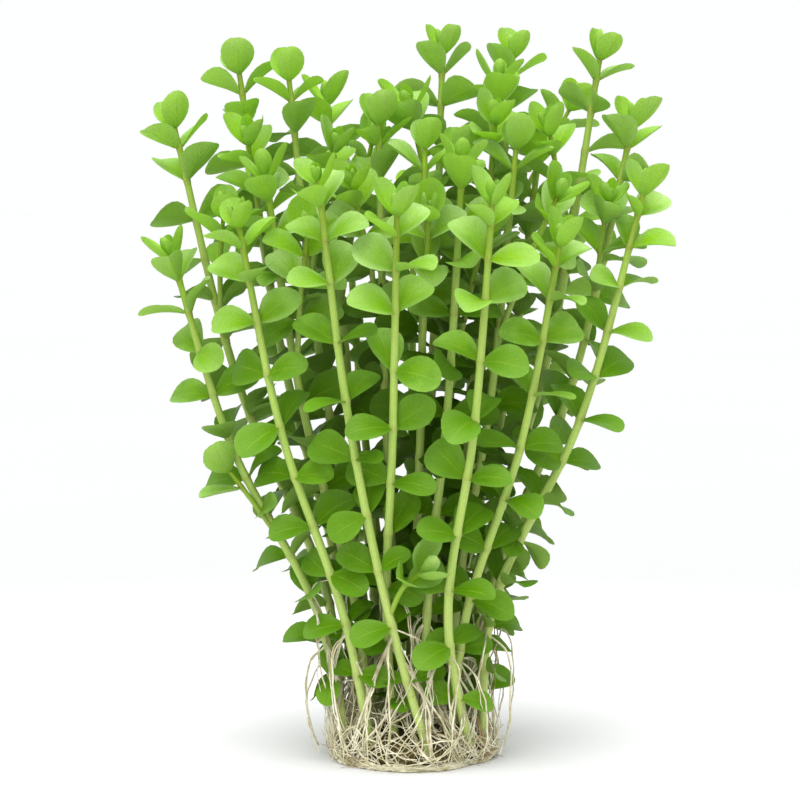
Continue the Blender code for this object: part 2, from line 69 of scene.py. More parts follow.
# For shoot_01 and on: tip, waist at WAIST_HEIGHT_MM, foot in the mat, turn of the first leaf pair in degrees
SHOOTS = (
    ((-69.5, 5.0, 187.0), (-23.5, 3.0), (-20.0, 2.0), 42),
    ((-69.0, -12.0, 149.0), (-26.5, -8.5), (-18.0, -6.0), 78),
    ((-51.0, 18.0, 203.0), (-19.5, 9.0), (-16.0, 8.5), 4),
    ((-49.0, -28.0, 159.0), (-18.8, -17.0), (-11.0, -14.5), 30),
    ((-42.0, -10.0, 172.0), (-15.5, -6.5), (-11.5, -6.5), 84),
    ((-36.0, 12.0, 201.0), (-13.5, 4.5), (-10.5, 2.0), 20),
    ((-26.0, -42.0, 171.0), (-5.5, -22.5), (5.5, -20.0), 55),
    ((-25.0, 29.0, 194.0), (-10.5, 13.0), (-8.5, 11.5), 65),
    ((-9.5, 2.0, 188.0), (-5.0, 0.0), (-4.0, -1.5), 38),
    ((-4.0, -50.0, 163.0), (-7.0, -14.5), (-4.5, -12.0), 48),
    ((4.0, -8.0, 181.0), (1.5, -5.5), (2.8, -6.0), 10),
    ((9.5, 26.0, 209.0), (3.0, 11.5), (1.0, 11.0), 52),
    ((14.5, -23.0, 176.0), (4.5, -13.5), (4.0, -13.0), 80),
    ((15.0, 6.0, 177.0), (6.5, 2.5), (5.2, 2.5), 25),
    ((22.5, -44.0, 166.0), (10.6, -24.0), (17.0, -13.0), 60),
    ((26.0, 18.0, 200.0), (10.0, 8.5), (8.0, 9.5), 88),
    ((31.0, 36.0, 208.0), (10.0, 17.5), (7.6, 17.0), 35),
    ((30.5, -4.0, 181.0), (13.0, -3.5), (11.5, -4.5), 15),
    ((39.0, 27.0, 182.0), (14.5, 13.0), (13.4, 13.2), 70),
    ((42.0, -32.0, 154.0), (15.5, -14.5), (10.8, -12.5), 45),
    ((56.0, 16.0, 207.0), (19.5, 7.5), (17.4, 7.4), 32),
    ((65.0, 6.0, 187.0), (22.0, 1.0), (19.5, 0.6), 40),
    ((67.0, -14.0, 168.0), (23.0, -8.0), (20.6, -6.2), 46),
    ((-44.0, 37.0, 168.0), (-16.0, 16.5), (-13.8, 15.0), 33),
    ((-20.0, 46.0, 172.0), (-8.0, 20.0), (-6.2, 18.6), 75),
    ((1.0, 53.0, 166.0), (-0.5, 21.5), (0.6, 18.4), 22),
    ((24.0, 54.0, 160.0), (7.5, 23.5), (7.0, 22.6), 62),
    ((50.0, 42.0, 164.0), (17.5, 18.5), (14.6, 18.2), 12),
)

# For each side shoot: its shoot's number, height where it leaves that, tip, turn of its first leaf pair
SIDE_SHOOTS = (
    (2, 63.0, (-54.0, -14.0, 88.0), 20),
    (7, 45.0, (4.0, -33.0, 60.0), 48),
    (1, 127.0, (-54.0, -5.0, 161.0), 15),
    (3, 140.0, (-47.5, 1.0, 182.0), 62),
    (5, 113.0, (-29.0, -27.0, 156.0), 38),
    (6, 138.0, (-22.0, 0.0, 180.0), 74),
    (8, 133.0, (-11.0, 13.0, 182.0), 26),
    (9, 123.0, (-17.0, -18.5, 169.5), 50),
    (11, 113.0, (5.0, -29.5, 161.0), 5),
    (12, 150.0, (-1.0, 10.0, 192.0), 70),
    (14, 110.0, (21.5, -14.0, 156.0), 33),
    (16, 142.0, (24.5, 0.5, 188.0), 58),
    (17, 145.0, (49.0, 36.5, 192.0), 18),
    (18, 123.0, (42.0, -19.5, 166.0), 80),
    (21, 145.0, (40.0, 5.5, 185.0), 44),
    (22, 129.0, (56.5, -9.5, 165.0), 66),
)
SIDE_SHARE = 0.8
FOOT_HEIGHT_MM = 3.0
WAIST_HEIGHT_MM = 42.0
BOW_OUT, BOW_UP = 0.58, 0.46
SIDE_BOW_SHARE, SIDE_BOW_MM = 0.45, 2.5
LINE_STEP_MM = 2.0
STEM_RADII_MM = ((0.0, 0.62), (8.0, 0.9), (40.0, 1.1), (110.0, 1.28), (230.0, 1.42))
STEM_SIDES = 12
PAIR_DEPTHS_MM = (0.9, 2.6, 8.6, 18.2, 30.0)
SPACING_BY_FRONT_MM = ((-40.0, 17.0), (-5.0, 12.0))
LOWEST_PAIR_MM = 15.0
LOWEST_SIDE_PAIR_MM = 5.0
NODE_SWELLING, NODE_REACH_MM = 0.2, 1.0
NODE_RINGS_MM = (-2.0, -0.9, -0.3, 0.3, 0.9, 2.0)
RING_GAP_MM = 3.4


def smooth_line(points, step):
    """Points about one step apart on a smooth cubic curve through the given points."""
    points = [np.array(p, float) for p in points]
    chords = [np.linalg.norm(b - a) for a, b in zip(points, points[1:])]
    slopes = [(b - a) / c for a, b, c in zip(points, points[1:], chords)]
    tangents = [slopes[0]]
    for before, after, chord_a, chord_b in zip(slopes, slopes[1:], chords, chords[1:]):
        tangents.append((before * chord_b + after * chord_a) / (chord_a + chord_b))
    tangents.append(slopes[-1])
    line = []
    for i, chord in enumerate(chords):
        count = max(2, round(chord / step))
        for k in range(count):
            t = k / count
            line.append(
                points[i] * (2 * t**3 - 3 * t**2 + 1)
                + points[i + 1] * (3 * t**2 - 2 * t**3)
                + tangents[i] * chord * (t**3 - 2 * t**2 + t)
                + tangents[i + 1] * chord * (t**3 - t**2)
            )
    line.append(points[-1])
    return np.array(line)


def lengths_from_end(line):
    """Distance of each point from the line's last point, along the line."""
    steps = np.linalg.norm(np.diff(line, axis=0), axis=1)
    return np.append(np.cumsum(steps[::-1])[::-1], 0.0)


def point_and_direction(line, from_end):
    """The place on the line that far from its end, and the direction towards the end there."""
    away = lengths_from_end(line)
    place, ahead, behind = (
        Vector([np.interp(distance, away[::-1], line[::-1, axis]) for axis in range(3)])
        for distance in (from_end, from_end - MM, from_end + MM)
    )
    return place, (ahead - behind).normalized()


def at_height(line, height):
    """The distance from the line's end at which it has this height."""
    away = lengths_from_end(line)
    return float(np.interp(height, line[:, 2], away))


def stem_radius(from_tip):
    """Radius of a stem that far below its tip."""
    depths, radii = zip(*STEM_RADII_MM)
    return float(np.interp(from_tip / MM, depths, radii)) * MM


def across_stem(stem_along, azimuth):
    """Direction square to the stem on the side of that compass angle."""
    flat = Vector((math.cos(azimuth), math.sin(azimuth), 0))
    return (flat - stem_along * flat.dot(stem_along)).normalized()


def pair_depths(line, lowest):
    """Depth below the tip of each leaf pair on a stem. Pairs stand further apart on front shoots."""
    length = lengths_from_end(line)[0]
    fronts, spacings = zip(*SPACING_BY_FRONT_MM)
    spacing = np.interp(line[-1, 1] / MM, fronts, spacings) * MM
    depths = [d * MM for d in PAIR_DEPTHS_MM]
    while depths[-1] + spacing < length:
        depths.append(depths[-1] + spacing)
    return [d for d in depths if d < length - lowest]


def stem_line(tip, waist, foot):
    """Line of a shoot's stem, from its foot to its tip."""
    tip = np.array(tip)
    waist = np.array((*waist, WAIST_HEIGHT_MM))
    foot = np.array((*foot, FOOT_HEIGHT_MM))
    bow = waist + (tip - waist) * (BOW_OUT, BOW_OUT, BOW_UP)
    return smooth_line([foot * MM, waist * MM, bow * MM, tip * MM], LINE_STEP_MM * MM)


def side_shoot_line(stem, height, tip):
    """Line of a side shoot, which leaves its parent inside the parent's stem."""
    start, along = point_and_direction(stem, at_height(stem, height * MM))
    tip = Vector(tip) * MM
    middle = start.lerp(tip, SIDE_BOW_SHARE) + along * (SIDE_BOW_MM * MM)
    return smooth_line([start, middle, tip], LINE_STEP_MM * MM)


def set_attribute(mesh, name, values, domain="POINT"):
    """Numbers that a material reads, one for each point or face."""
    layer = mesh.attributes.get(name) or mesh.attributes.new(name, "FLOAT", domain)
    layer.data.foreach_set("value", np.asarray(values, np.float32))


def cut_cylinder(sides, rings):
    """Cylinder from height -1 to 1 whose sides are cut into evenly spaced rings."""
    bpy.ops.mesh.primitive_cylinder_add(vertices=sides, radius=1, depth=2)
    cylinder = bpy.context.object
    bpy.ops.object.mode_set(mode="EDIT")
    bpy.ops.mesh.select_mode(type="EDGE")
    bpy.ops.mesh.select_all(action="DESELECT")
    bpy.ops.object.mode_set(mode="OBJECT")
    places = cylinder.data.vertices
    for edge in cylinder.data.edges:
        low, high = edge.vertices
        edge.select = abs(places[low].co.z - places[high].co.z) > 1
    bpy.ops.object.mode_set(mode="EDIT")
    bpy.ops.mesh.subdivide(number_cuts=rings - 2)
    bpy.ops.object.mode_set(mode="OBJECT")
    return cylinder


def grow_stem(name, line, turn, share, lowest):
    """Stem along a line, with a swollen ring at each leaf pair."""
    length = lengths_from_end(line)[0]
    nodes = pair_depths(line, lowest)
    rings = [length, 0.0] + [n + away * MM for n in nodes for away in NODE_RINGS_MM]
    rings = sorted({round(min(max(r, 0.0), length), 6) for r in rings})
    gaps = [(a, b) for a, b in zip(rings, rings[1:]) if b - a > RING_GAP_MM * MM]
    for a, b in gaps:
        count = math.ceil((b - a) / (RING_GAP_MM * MM))
        rings += [a + (b - a) * k / count for k in range(1, count)]
    rings.sort(reverse=True)
    stem = cut_cylinder(STEM_SIDES, len(rings))
    stem.name = name
    sections = []
    for depth in rings:
        centre, along = point_and_direction(line, depth)
        nearest = min(abs(depth - n) for n in nodes) / (NODE_REACH_MM * MM)
        joint = math.exp(-(nearest**2))
        across = across_stem(along, math.radians(turn))
        radius = stem_radius(depth) * share * (1 + NODE_SWELLING * joint)
        sections.append((centre, across * radius, along.cross(across) * radius, depth, joint))
    below_tip, joints = [], []
    for vertex in stem.data.vertices:
        number = round((vertex.co.z + 1) / 2 * (len(rings) - 1))
        centre, across, other, depth, joint = sections[number]
        vertex.co = centre + across * vertex.co.x + other * vertex.co.y
        below_tip.append(depth)
        joints.append(joint)
    set_attribute(stem.data, "below_tip", below_tip)
    set_attribute(stem.data, "joint", joints)
    return stem


# Each stem: its shoot's number, line, turn of its first leaf pair, share of full girth, length of bare foot
stems = []
for shoot, (tip, waist, foot, turn) in enumerate(SHOOTS, 1):
    stems.append((shoot, stem_line(tip, waist, foot), turn, 1.0, LOWEST_PAIR_MM * MM))
for shoot, height, tip, turn in SIDE_SHOOTS:
    line = side_shoot_line(stems[shoot - 1][1], height, tip)
    stems.append((shoot, line, turn, SIDE_SHARE, LOWEST_SIDE_PAIR_MM * MM))

shoot_pieces = {number: [] for number in range(1, len(SHOOTS) + 1)}
for number, (shoot, *about) in enumerate(stems):
    shoot_pieces[shoot].append(grow_stem(f"stem_{number}", *about))


def set_inputs(tree, node, inputs):
    """Gives each input of a node its value, or a socket to read."""
    for socket, value in inputs.items():
        if isinstance(value, bpy.types.NodeSocket):
            tree.links.new(value, node.inputs[socket])
        else:
            node.inputs[socket].default_value = value


def add_node(tree, kind, inputs=None, **settings):
    """Shader node with its settings and inputs."""
    node = tree.nodes.new(kind)
    for setting, value in settings.items():
        setattr(node, setting, value)
    set_inputs(tree, node, inputs or {})
    return node


def mixed(tree, share, first, second):
    """Colour socket of the first colour with a share of the second."""
    node = add_node(tree, "ShaderNodeMix", {0: share, 6: first, 7: second}, data_type="RGBA")
    return node.outputs[2]


def scaled(tree, colour, factor):
    """Colour socket of a colour that is made lighter or darker."""
    return add_node(tree, "ShaderNodeVectorMath", {0: colour, "Scale": factor}, operation="SCALE").outputs[0]


def math_node(tree, operation, *values, clamp=False):
    """Value socket of one sum."""
    inputs = dict(enumerate(values))
    return add_node(tree, "ShaderNodeMath", inputs, operation=operation, use_clamp=clamp).outputs[0]


def times(tree, value, factor, plus=0.0, clamp=False):
    """Value socket of a value times a factor, plus a third value."""
    return math_node(tree, "MULTIPLY_ADD", value, factor, plus, clamp=clamp)


def banded(tree, value, low, high, to_low=0.0, to_high=1.0):
    """Value socket that goes smoothly from one number to another as a value goes from low to high."""
    numbers = {0: value, 1: low, 2: high, 3: to_low, 4: to_high}
    return add_node(tree, "ShaderNodeMapRange", numbers, interpolation_type="SMOOTHSTEP").outputs[0]


def attribute(tree, name):
    """Value socket of a piece's own attribute."""
    return add_node(tree, "ShaderNodeAttribute", attribute_name=name).outputs["Fac"]


def unwrapped(tree):
    """Sockets of a point's two coordinates on its piece's unwrapped surface."""
    place = add_node(tree, "ShaderNodeUVMap", uv_map="UVMap").outputs["UV"]
    return add_node(tree, "ShaderNodeSeparateXYZ", {0: place}).outputs[:2]


def bumped(tree, height, strength, distance):
    """Normal socket of a skin with that relief."""
    inputs = {"Height": height, "Strength": strength, "Distance": distance}
    return add_node(tree, "ShaderNodeBump", inputs).outputs["Normal"]


def build_mottle():
    """Node group: patches of tone a few millimetres wide, and a grain of cells."""
    group = bpy.data.node_groups.new("living_mottle", "ShaderNodeTree")
    for name, start in (("Patch size", 0.006), ("Cell size", 0.0005)):
        group.interface.new_socket(name, in_out="INPUT", socket_type="NodeSocketFloat").default_value = start
    for name in ("Patches", "Cells"):
        group.interface.new_socket(name, in_out="OUTPUT", socket_type="NodeSocketFloat")
    start = group.nodes.new("NodeGroupInput")
    end = group.nodes.new("NodeGroupOutput")
    place = add_node(group, "ShaderNodeTexCoord").outputs["Object"]
    for number, size in enumerate(("Patch size", "Cell size")):
        scale = math_node(group, "DIVIDE", 1.0, start.outputs[size])
        noise = add_node(group, "ShaderNodeTexNoise", {"Vector": place, "Scale": scale, "Detail": 2.0})
        group.links.new(banded(group, noise.outputs["Fac"], 0.3, 0.7), end.inputs[number])
    return group


mottle = build_mottle()


def add_mottle(tree, patch, cell):
    """Patches and cells sockets of a placed mottle group."""
    node = add_node(tree, "ShaderNodeGroup", node_tree=mottle)
    set_inputs(tree, node, {"Patch size": patch, "Cell size": cell})
    return node.outputs["Patches"], node.outputs["Cells"]


def new_material(name):
    """Material with its tree, its Principled BSDF and its output, and no other node."""
    material = bpy.data.materials.new(name)
    material.use_nodes = True
    nodes = material.node_tree.nodes
    return material, material.node_tree, nodes["Principled BSDF"], nodes["Material Output"]


STEM_TOP = (0.21, 0.36, 0.015, 1.0)
STEM_MIDDLE = (0.38, 0.53, 0.11, 1.0)
STEM_FOOT = (0.44, 0.54, 0.16, 1.0)
STEM_BLUSH = (0.20, 0.13, 0.03, 1.0)
STEM_RIBS = 11


def build_stem_material():
    """Satin green that pales downwards, with fine ribs and a faint red-brown blush above each leaf pair."""
    material, tree, shader, _ = new_material("stem_skin")
    depth, joint = attribute(tree, "below_tip"), attribute(tree, "joint")
    patches, cells = add_mottle(tree, 0.009, 0.0006)
    colour = mixed(tree, banded(tree, depth, 0.0, 0.045), STEM_TOP, STEM_MIDDLE)
    colour = mixed(tree, banded(tree, depth, 0.06, 0.17), colour, STEM_FOOT)
    blush = times(tree, times(tree, banded(tree, depth, 0.075, 0.01), patches), 0.22)
    colour = mixed(tree, times(tree, joint, 0.26, blush, clamp=True), colour, STEM_BLUSH)
    round_stem, _ = unwrapped(tree)
    ribs = math_node(tree, "SINE", times(tree, round_stem, 2 * math.pi * STEM_RIBS))
    colour = mixed(tree, times(tree, banded(tree, ribs, 0.2, -1.0), 0.28), colour, STEM_TOP)
    set_inputs(tree, shader, {
        "Base Color": scaled(tree, colour, times(tree, cells, 0.1, 0.95)),
        "Roughness": times(tree, cells, 0.12, 0.34),
        "Normal": bumped(tree, times(tree, cells, 0.3, ribs), 0.35, 0.00008),
        "Specular IOR Level": 0.3,
        "Subsurface Weight": 0.15,
        "Subsurface Radius": (0.0012, 0.0016, 0.0005),
        "Subsurface Scale": 1.0,
    })
    return material


stem_skin = build_stem_material()
for pieces in shoot_pieces.values():
    for stem in pieces:
        stem.data.materials.append(stem_skin)


# Leaves
# The real leaves are thin, slightly fleshy round blades with a paler midrib. They grow in opposite pairs,
# each a quarter turn from the pair above. One flat blade is modelled, and each copy is bent for its place.

# Each pair from the tip down: leaf length, width as a share of it, rise in degrees, and turn to the light
PAIR_SHAPES = (
    (7.4, 0.62, 72.0, 0.0),
    (11.2, 0.80, 57.0, 0.12),
    (12.6, 0.76, 38.0, 0.34),
    (13.2, 0.76, 24.0, 0.6),
    (13.0, 0.80, 14.0, 0.8),
)
SMALL_LEAF_HEIGHTS_MM, SMALL_LEAF_SHARE = (30, 70), 0.82
LENGTH_SPREAD, WIDTH_SPREAD = (0.90, 1.10), (0.92, 1.08)
RISE_SPREAD_DEG, FACING_SPREAD = (-9, 9), (0.35, 1.3)
SHRINK_EACH_TRY = 0.97
LEAF_THICKNESS, THICKEST_AT = 0.055, 0.55
SHOULDER, BLUNT_TIP, BLUNT_WIDTH = 0.52, 0.95, 0.68
DEEPER_THAN_WIDE = 1.4
LEAST_SWING_DEG, SWING_STEP_DEG, MOST_SWING_DEG = 8, 3, 34.0
LIGHT_SPREAD = ((-0.4, 0.4), (0.25, 0.95), (0.1, 0.8))
FRONT_SPREAD_MM = (-22.0, 12.0)
OUTWARD_LIGHT = 0.6
TURN_STEPS, TURN_LESS, LEAST_SIDE_SHARE = 8, 0.8, 0.58
LEAF_TRIES = 14
LEAF_CLEARANCE_MM = 0.4
NEIGHBOUR_MM = 16.0
CORNER_SHARE = 1.1
OBSTACLE_GRID = (8, 24)

# For each thick hanging root: its shoot's number, height where it starts, how far it bulges, where it ends
HANGING_ROOTS = (
    (1, 33.0, 31.0, (-27.5, 4.5, 3.0)),
    (2, 40.0, 31.5, (-27.0, -8.5, 2.5)),
    (3, 36.0, 29.0, (-23.5, 14.5, 3.5)),
    (4, 37.0, 30.0, (-19.5, -20.0, 2.5)),
    (7, 49.0, 29.5, (-6.0, -27.5, 2.5)),
    (10, 34.0, 28.0, (-12.5, -25.0, 3.0)),
    (15, 36.0, 30.0, (10.5, -26.0, 2.5)),
    (20, 39.0, 30.5, (20.5, -19.0, 3.0)),
    (21, 35.0, 30.0, (24.5, 12.5, 3.0)),
    (22, 40.0, 30.5, (27.5, 2.0, 2.5)),
    (23, 35.0, 31.0, (26.0, -9.5, 2.5)),
    (24, 36.0, 28.5, (-17.5, 21.5, 3.0)),
    (26, 38.0, 29.0, (-3.0, 27.5, 2.5)),
    (28, 36.0, 29.5, (18.5, 22.0, 3.0)),
)
ROOT_RADIUS_MM = 0.55
ROOT_BELOW_NODE_MM = 2.6
SHOULDER_OUT_MM, SHOULDER_DOWN_MM = 3.2, 1.5
BULGE_HEIGHT = 0.46


def hanging_root_line(stem, height, bulge, end):
    """Line of a hanging root: from the stem just below a leaf pair, outwards and down past the mat's edge."""
    about = at_height(stem, height * MM)
    nodes = pair_depths(stem, LOWEST_PAIR_MM * MM)
    below = min(nodes, key=lambda depth: abs(depth - about)) + ROOT_BELOW_NODE_MM * MM
    start, _ = point_and_direction(stem, below)
    end = Vector(end) * MM
    outward = Vector((start.x + end.x, start.y + end.y, 0)).normalized()
    shoulder = start + outward * (SHOULDER_OUT_MM * MM) - Vector((0, 0, SHOULDER_DOWN_MM * MM))
    middle = outward * (bulge * MM) + Vector((0, 0, start.z * BULGE_HEIGHT))
    return smooth_line([start, shoulder, middle, end], LINE_STEP_MM * MM)


def line_tree(line, sides, rings, radius_at):
    """Search tree of a tube along a line, with rings evenly spaced along it."""
    away = np.linspace(lengths_from_end(line)[0], 0.0, rings)
    centres = [point_and_direction(line, a)[0] for a in away]
    points, faces = [], []
    across = Vector((1, 0, 0))
    for i, (centre, distance) in enumerate(zip(centres, away)):
        before, after = centres[max(i - 1, 0)], centres[min(i + 1, rings - 1)]
        along = (after - before).normalized()
        across = (across - along * across.dot(along)).normalized()
        other = along.cross(across)
        for k in range(sides):
            angle = 2 * math.pi * k / sides
            points.append(centre + (across * math.cos(angle) + other * math.sin(angle)) * radius_at(distance))
    for low in range(0, (rings - 1) * sides, sides):
        for k in range(sides):
            after = (k + 1) % sides
            faces.append((low + k, low + after, low + sides + after, low + sides + k))
    faces += [tuple(reversed(range(sides))), tuple(range((rings - 1) * sides, rings * sides))]
    return BVHTree.FromPolygons(points, faces)


def from_top(values, order):
    """The table's value for the pair of that order, counted from the tip."""
    return values[min(order, len(values) - 1)]


def new_leaf(key, stem, order, depth, base, directions, size, width):
    """Record of a leaf. Its frame has the leaf along +X, its width along Y and its face towards +Z."""
    placed = Matrix(directions).transposed().to_4x4()
    placed.translation = base
    leaf = {"key": key, "stem": stem, "order": order, "depth": depth, "size": size, "width": width}
    middle = base + directions[0] * size * THICKEST_AT
    return leaf | {"frame": placed, "neck": stem_radius(depth), "middle": middle}


def leaf_turned(stem_along, facet_out, swing, rise, facing, light):
    """Directions of a leaf: along it, across it, and out of its face, which turns towards its light."""
    facet_side = stem_along.cross(facet_out)
    out = facet_out * math.cos(swing) + facet_side * math.sin(swing)
    natural_along = out * math.cos(rise) + stem_along * math.sin(rise)
    natural_normal = stem_along * math.cos(rise) - out * math.sin(rise)
    for _ in range(TURN_STEPS):
        along = (natural_along - light * natural_along.dot(light) * facing).normalized()
        normal = natural_normal * (1 - facing) + light * facing
        normal = (normal - along * normal.dot(along)).normalized()
        side = normal.cross(along)
        if side.dot(facet_side) > LEAST_SIDE_SHARE:
            break
        facing *= TURN_LESS
    return along, side, normal


def leaf_tree(leaf, grow):
    """Search tree of a plain leaf grown by a clearance, from a point in its stem out to its tip."""
    size, half, reach = leaf["size"], leaf["width"] / 2 + grow, leaf["size"] + grow
    left = [(SHOULDER * size, half), (BLUNT_TIP * reach, BLUNT_WIDTH * half)]
    right = [(x, -y) for x, y in reversed(left)]
    points = [Vector((-0.5 * leaf["neck"], 0.0, 0.0))] + [Vector((x, y, -grow)) for x, y in left + right]
    points.append(Vector((THICKEST_AT * size, 0.0, size * LEAF_THICKNESS + grow)))
    faces = [(0, 4, 3, 2, 1), (0, 1, 5), (1, 2, 5), (2, 3, 5), (3, 4, 5), (4, 0, 5)]
    return BVHTree.FromPolygons([leaf["frame"] @ point for point in points], faces)


def leaf_tried(stem, attempt, line, order, depth, turn, side):
    """One leaf of a pair, as the attempt of that number would set it."""
    key = f"{stem}/{order}/{side}"
    dice = random.Random(f"{key}/{attempt}")
    node, along = point_and_direction(line, depth)
    low = 1.0 if order < 3 else np.interp(node.z / MM, SMALL_LEAF_HEIGHTS_MM, (SMALL_LEAF_SHARE, 1))
    length, slimness, rise, facing = from_top(PAIR_SHAPES, order)
    size = length * MM * low * dice.uniform(*LENGTH_SPREAD) * SHRINK_EACH_TRY**attempt
    width = size * slimness * dice.uniform(*WIDTH_SPREAD)
    loose = math.radians(min(LEAST_SWING_DEG + SWING_STEP_DEG * (min(order, 4) + attempt), MOST_SWING_DEG))
    swing = dice.uniform(-loose, loose)
    rise = math.radians(rise + dice.uniform(*RISE_SPREAD_DEG))
    facing *= dice.uniform(*FACING_SPREAD)
    outward = Vector((node.x, node.y * DEEPER_THAN_WIDE, 0)).normalized()
    spread = Vector([dice.uniform(*reach) for reach in LIGHT_SPREAD])
    if node.y < dice.uniform(*FRONT_SPREAD_MM) * MM:
        spread.y *= -1
    out = across_stem(along, math.radians(turn + 90 * order + 180 * side))
    light = (outward * OUTWARD_LIGHT + spread).normalized()
    directions = leaf_turned(along, out, swing, rise, facing, light)
    return new_leaf(key, stem, order, depth, node + out * stem_radius(depth), directions, size, width)


def lay_out_leaves():
    """Every leaf of the bundle, each clear of the stems, roots and earlier leaves, or left out as fallen."""
    gap = LEAF_CLEARANCE_MM * MM
    obstacles = []
    for number, (_, line, *_) in enumerate(stems):
        tube = line_tree(line, *OBSTACLE_GRID, lambda away: stem_radius(away) * CORNER_SHARE + gap)
        obstacles.append((number, tube))
    for shoot, *about in HANGING_ROOTS:
        root = hanging_root_line(stems[shoot - 1][1], *about)
        obstacles.append((None, line_tree(root, *OBSTACLE_GRID, lambda away: ROOT_RADIUS_MM * MM + gap)))
    wanted = []
    for number, (_, line, turn, _, lowest) in enumerate(stems):
        for order, depth in enumerate(pair_depths(line, lowest)):
            wanted += [(order, number, side, line, depth, turn) for side in (0, 1)]
    placed = []
    for order, number, side, line, depth, turn in sorted(wanted, key=lambda w: w[:3]):
        others = [tree for owner, tree in obstacles if owner != number]
        for attempt in range(LEAF_TRIES):
            leaf = leaf_tried(number, attempt, line, order, depth, turn, side)
            leaf["tree"] = leaf_tree(leaf, gap)
            near = [p for p in placed if (p["middle"] - leaf["middle"]).length < NEIGHBOUR_MM * MM]
            if any(leaf["tree"].overlap(tree) for tree in others):
                continue
            if any(leaf["tree"].overlap(p["tree"]) for p in near):
                continue
            placed.append(leaf)
            break
    return placed


BUD_LENGTH_MM, BUD_WIDTH, BUD_RISE_DEG = 4.6, 0.55, 80.0
BUD_DEPTH_MM, BUD_FROM_MIDDLE = 0.4, 0.6


def bud_leaves():
    """The two smallest leaves, not yet unfolded, that close the growing point of each stem."""
    buds = []
    for number, (_, line, turn, *_) in enumerate(stems):
        node, along = point_and_direction(line, BUD_DEPTH_MM * MM)
        for side in (0, 1):
            key = f"bud/{number}/{side}"
            dice = random.Random(key)
            out = across_stem(along, math.radians(turn + 90 + 180 * side + dice.uniform(-15, 15)))
            rise = math.radians(BUD_RISE_DEG + dice.uniform(-9, 5))
            directions = leaf_turned(along, out, 0.0, rise, 0.0, along)
            size = BUD_LENGTH_MM * MM * dice.uniform(0.75, 1.15)
            base = node + out * stem_radius(0.0) * BUD_FROM_MIDDLE
            buds.append(new_leaf(key, number, 0, 0.0, base, directions, size, size * BUD_WIDTH))
    return buds


BLADE_STATIONS = (0.0, 0.07, 0.2, 0.35, 0.51, 0.67, 0.81, 0.92, 0.98)
BLADE_ROWS = 4
STALK_INSIDE_MM = 0.5
STALK_WIDTH_MM = 1.15
BLADE_DEPTH_MM = 0.42


def model_blade():
    """Flat closed blade from -1 to 1 each way. Its underside is 1 lower, and meets the top at the rim."""
    steps = len(BLADE_STATIONS) - 1
    bpy.ops.mesh.primitive_grid_add(x_subdivisions=steps, y_subdivisions=BLADE_ROWS, size=2)
    blade = bpy.context.object
    blade.name = "blade"
    bpy.ops.object.mode_set(mode="EDIT")
    bpy.ops.mesh.select_mode(type="VERT")
    bpy.ops.mesh.duplicate()
    bpy.ops.mesh.flip_normals()
    points = bmesh.from_edit_mesh(blade.data)
    for vertex in points.verts:
        if max(abs(vertex.co.x), abs(vertex.co.y)) > 0.999:
            vertex.select_set(False)
    bpy.ops.transform.translate(value=(0, 0, -1))
    bpy.ops.mesh.select_all(action="SELECT")
    bpy.ops.mesh.remove_doubles(threshold=0.001)
    bpy.ops.object.mode_set(mode="OBJECT")
    below = [min(blade.data.vertices[i].co.z for i in face.vertices) < -0.5 for face in blade.data.polygons]
    set_attribute(blade.data, "underside", below, "FACE")
    return blade


# Each pair from the tip down: smallest and largest blade as shares of its place, where it is widest, how
# fast it widens, and as shares of its length the rise of its edges, its fold, its arch and its tip's droop
BLADE_SHAPES = (
    (0.60, 1.00, 0.54, 0.68, 0.12, 0.03, -0.10, -0.06),
    (0.88, 1.05, 0.56, 0.70, 0.09, 0.06, -0.07, -0.03),
    (0.97, 1.06, 0.59, 0.78, 0.06, 0.09, 0.02, 0.04),
    (0.97, 1.06, 0.60, 0.80, 0.05, 0.08, 0.06, 0.07),
    (0.97, 1.06, 0.60, 0.78, 0.03, 0.07, 0.08, 0.09),
)


